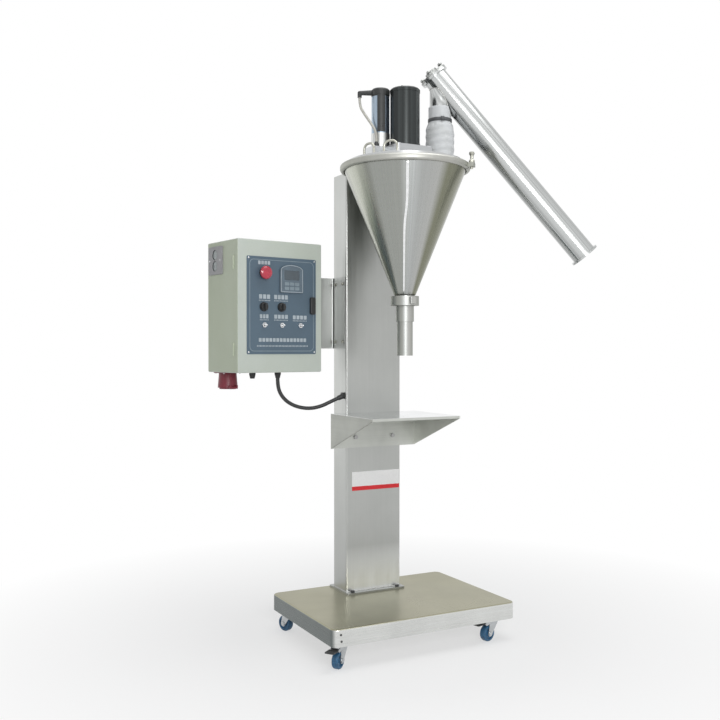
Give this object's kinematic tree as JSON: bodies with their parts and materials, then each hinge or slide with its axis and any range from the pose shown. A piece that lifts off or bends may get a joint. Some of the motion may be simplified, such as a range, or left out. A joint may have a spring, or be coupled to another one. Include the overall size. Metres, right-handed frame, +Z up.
{
  "type": "auger powder filler",
  "caption": "Auger powder filler on a wheeled base: column with conical hopper, drive, nozzle, height-set shelf, hinged control box and inclined screw feed tube.",
  "frame": {"origin": "on the floor midway between the four casters", "axes": "+Z up, +X to the right along the column's wide face, -Y towards the operator"},
  "size_m": [1.0845, 0.6314, 1.7949],
  "materials": {
    "stainless": "satin brushed stainless sheet",
    "rail_steel": "plain welded tube",
    "dark_bolt": "black oxide bolts",
    "zinc_steel": "zinc plated pressings",
    "blue_wheel": "blue elastic tread",
    "box_paint": "fine textured warm grey paint",
    "panel_blue": "slate blue printed panel",
    "red_button": "moulded red",
    "meter_case": "moulded, with a dark window",
    "plated_fittings": "plated",
    "black_plastic": "moulded black",
    "grey_plastic": "moulded grey",
    "red_plastic": "moulded red",
    "motor_black": "black anodised casing",
    "motor_silver": "drawn casing with a black cap",
    "gear_steel": "hobbed steel",
    "canvas": "woven canvas",
    "tie_band": "dark strap",
    "black_cable": "black jacket",
    "grey_cable": "pale grey jacket"
  },
  "bodies": {
    "frame": {"base_tray": "stainless", "base_rails": "rail_steel", "column": "stainless", "column_foot": "stainless", "frame_bolts": "dark_bolt", "caster_plates": "zinc_steel", "box_shell": "box_paint", "outlet_plate": "grey_plastic", "red_socket": "red_plastic", "cable_glands": "black_plastic", "control_modules": "grey_plastic", "box_bracket": "stainless", "hopper_cone": "stainless", "hopper_lid": "stainless", "clamp_ring": "stainless", "lid_handles": "stainless", "hopper_bracket": "stainless", "nozzle_tube": "stainless", "nozzle_clamp": "stainless", "drive_case": "stainless", "auger_motor": "motor_black", "agitator_motor": "motor_silver", "motor_cable_gland": "black_plastic", "feeder_tube": "stainless", "feeder_cover": "stainless", "sleeve": "canvas", "sleeve_bands": "tie_band", "control_cable": "black_cable", "motor_cable": "grey_cable"},
    "shelf": {"shelf_table": "stainless", "shelf_saddle": "stainless", "shelf_bolts": "dark_bolt"},
    "door": {"box_door": "box_paint", "panel_plate": "panel_blue", "panel_bezels": "plated_fittings", "meter": "meter_case"},
    "stop_button": {"stop_button": "red_button"},
    "selector_1": {"selector_1": "black_plastic"},
    "selector_2": {"selector_2": "black_plastic"},
    "toggle_1": {"toggle_1": "plated_fittings"},
    "toggle_2": {"toggle_2": "plated_fittings"},
    "toggle_3": {"toggle_3": "plated_fittings"},
    "door_latch": {"door_latch": "black_plastic"},
    "socket_flap": {"socket_flap": "red_plastic"},
    "clamp_knob": {"clamp_knob": "stainless"},
    "auger": {"auger": "stainless"},
    "agitator": {"agitator": "stainless", "agitator_gear": "gear_steel"},
    "pinion": {"pinion": "gear_steel"},
    "feeder_screw": {"feeder_screw": "stainless"},
    "caster_front_left": {"fork_front_left": "zinc_steel"},
    "wheel_front_left": {"wheel_front_left": "blue_wheel"},
    "brake_front_left": {"brake_front_left": "zinc_steel"},
    "caster_front_right": {"fork_front_right": "zinc_steel"},
    "wheel_front_right": {"wheel_front_right": "blue_wheel"},
    "brake_front_right": {"brake_front_right": "zinc_steel"},
    "caster_rear_left": {"fork_rear_left": "zinc_steel"},
    "wheel_rear_left": {"wheel_rear_left": "blue_wheel"},
    "caster_rear_right": {"fork_rear_right": "zinc_steel"},
    "wheel_rear_right": {"wheel_rear_right": "blue_wheel"}
  },
  "joints": [
    {"name": "swivel_front_left", "type": "hinge", "parent": "frame", "child": "caster_front_left", "pos_m": [-0.262, -0.182, 0.068], "axis": [0, 0, 1], "continuous": true},
    {"name": "roll_front_left", "type": "hinge", "parent": "caster_front_left", "child": "wheel_front_left", "pos_m": [-0.27797, -0.19404, 0.025], "axis": [0.6018, -0.7986, 0], "continuous": true},
    {"name": "brake_front_left", "type": "hinge", "parent": "caster_front_left", "child": "brake_front_left", "pos_m": [-0.29075, -0.20367, 0.058], "axis": [0.6018, -0.7986, 0], "range_deg": [0, 18]},
    {"name": "swivel_front_right", "type": "hinge", "parent": "frame", "child": "caster_front_right", "pos_m": [0.262, -0.182, 0.068], "axis": [0, 0, 1], "continuous": true},
    {"name": "roll_front_right", "type": "hinge", "parent": "caster_front_right", "child": "wheel_front_right", "pos_m": [0.24259, -0.18684, 0.025], "axis": [0.2419, -0.9703, 0], "continuous": true},
    {"name": "brake_front_right", "type": "hinge", "parent": "caster_front_right", "child": "brake_front_right", "pos_m": [0.22707, -0.19071, 0.058], "axis": [0.2419, -0.9703, 0], "range_deg": [0, 18]},
    {"name": "swivel_rear_left", "type": "hinge", "parent": "frame", "child": "caster_rear_left", "pos_m": [-0.262, 0.182, 0.068], "axis": [0, 0, 1], "continuous": true},
    {"name": "roll_rear_left", "type": "hinge", "parent": "caster_rear_left", "child": "wheel_rear_left", "pos_m": [-0.26917, 0.20067, 0.025], "axis": [-0.9336, -0.3584, 0], "continuous": true},
    {"name": "swivel_rear_right", "type": "hinge", "parent": "frame", "child": "caster_rear_right", "pos_m": [0.262, 0.182, 0.068], "axis": [0, 0, 1], "continuous": true},
    {"name": "roll_rear_right", "type": "hinge", "parent": "caster_rear_right", "child": "wheel_rear_right", "pos_m": [0.26818, 0.20102, 0.025], "axis": [-0.9511, 0.309, 0], "continuous": true},
    {"name": "shelf_height", "type": "slide", "parent": "frame", "child": "shelf", "axis": [0, 0, 1], "range_m": [-0.42, 0.015]},
    {"name": "door_hinge", "type": "hinge", "parent": "frame", "child": "door", "pos_m": [-0.49183, 0.07464, 1.0345], "axis": [0, 0, 1], "range_deg": [-110, 0]},
    {"name": "latch_turn", "type": "hinge", "parent": "door", "child": "door_latch", "pos_m": [-0.22731, 0.0924, 1.0405], "axis": [-0.1582, 0.9874, 0], "range_deg": [0, 90]},
    {"name": "stop_push", "type": "slide", "parent": "door", "child": "stop_button", "axis": [-0.1582, 0.9874, 0], "range_m": [0, 0.005], "stiffness_N_per_m": 1200},
    {"name": "socket_lid", "type": "hinge", "parent": "frame", "child": "socket_flap", "pos_m": [-0.45826, 0.16853, 0.7865], "axis": [0.9874, 0.1582, 0], "range_deg": [-100, 0], "stiffness_Nm_per_rad": 0.03, "springref_deg": 28.65},
    {"name": "clamp_screw", "type": "hinge", "parent": "frame", "child": "clamp_knob", "pos_m": [0.14345, -0.24354, 1.47], "axis": [0, 0, 1], "continuous": true},
    {"name": "auger_spin", "type": "hinge", "parent": "frame", "child": "auger", "pos_m": [0, -0.095, 1.2], "axis": [0, 0, 1], "continuous": true},
    {"name": "agitator_spin", "type": "hinge", "parent": "frame", "child": "agitator", "pos_m": [0, -0.095, 1.49], "axis": [0, 0, 1], "continuous": true},
    {"name": "pinion_spin", "type": "hinge", "parent": "frame", "child": "pinion", "pos_m": [-0.0624, -0.05339, 1.49], "axis": [0, 0, 1], "continuous": true},
    {"name": "feeder_spin", "type": "hinge", "parent": "frame", "child": "feeder_screw", "pos_m": [0.126, -0.095, 1.734], "axis": [0.571, -0.301, -0.7638], "continuous": true},
    {"name": "selector_1_turn", "type": "hinge", "parent": "door", "child": "selector_1", "pos_m": [-0.40011, 0.06472, 1.0335], "axis": [-0.1582, 0.9874, 0], "range_deg": [-45, 45]},
    {"name": "selector_2_turn", "type": "hinge", "parent": "door", "child": "selector_2", "pos_m": [-0.3379, 0.07468, 1.0335], "axis": [-0.1582, 0.9874, 0], "range_deg": [-45, 45]},
    {"name": "toggle_1_flick", "type": "hinge", "parent": "door", "child": "toggle_1", "pos_m": [-0.39841, 0.06043, 0.9785], "axis": [0.9874, 0.1582, 0], "range_deg": [-12, 12]},
    {"name": "toggle_2_flick", "type": "hinge", "parent": "door", "child": "toggle_2", "pos_m": [-0.33719, 0.07024, 0.9785], "axis": [0.9874, 0.1582, 0], "range_deg": [-12, 12]},
    {"name": "toggle_3_flick", "type": "hinge", "parent": "door", "child": "toggle_3", "pos_m": [-0.27103, 0.08084, 0.9785], "axis": [0.9874, 0.1582, 0], "range_deg": [-12, 12]}
  ],
  "couplings": [
    {"joint": "pinion_spin", "follows": "agitator_spin", "ratio": -2.125}
  ]
}
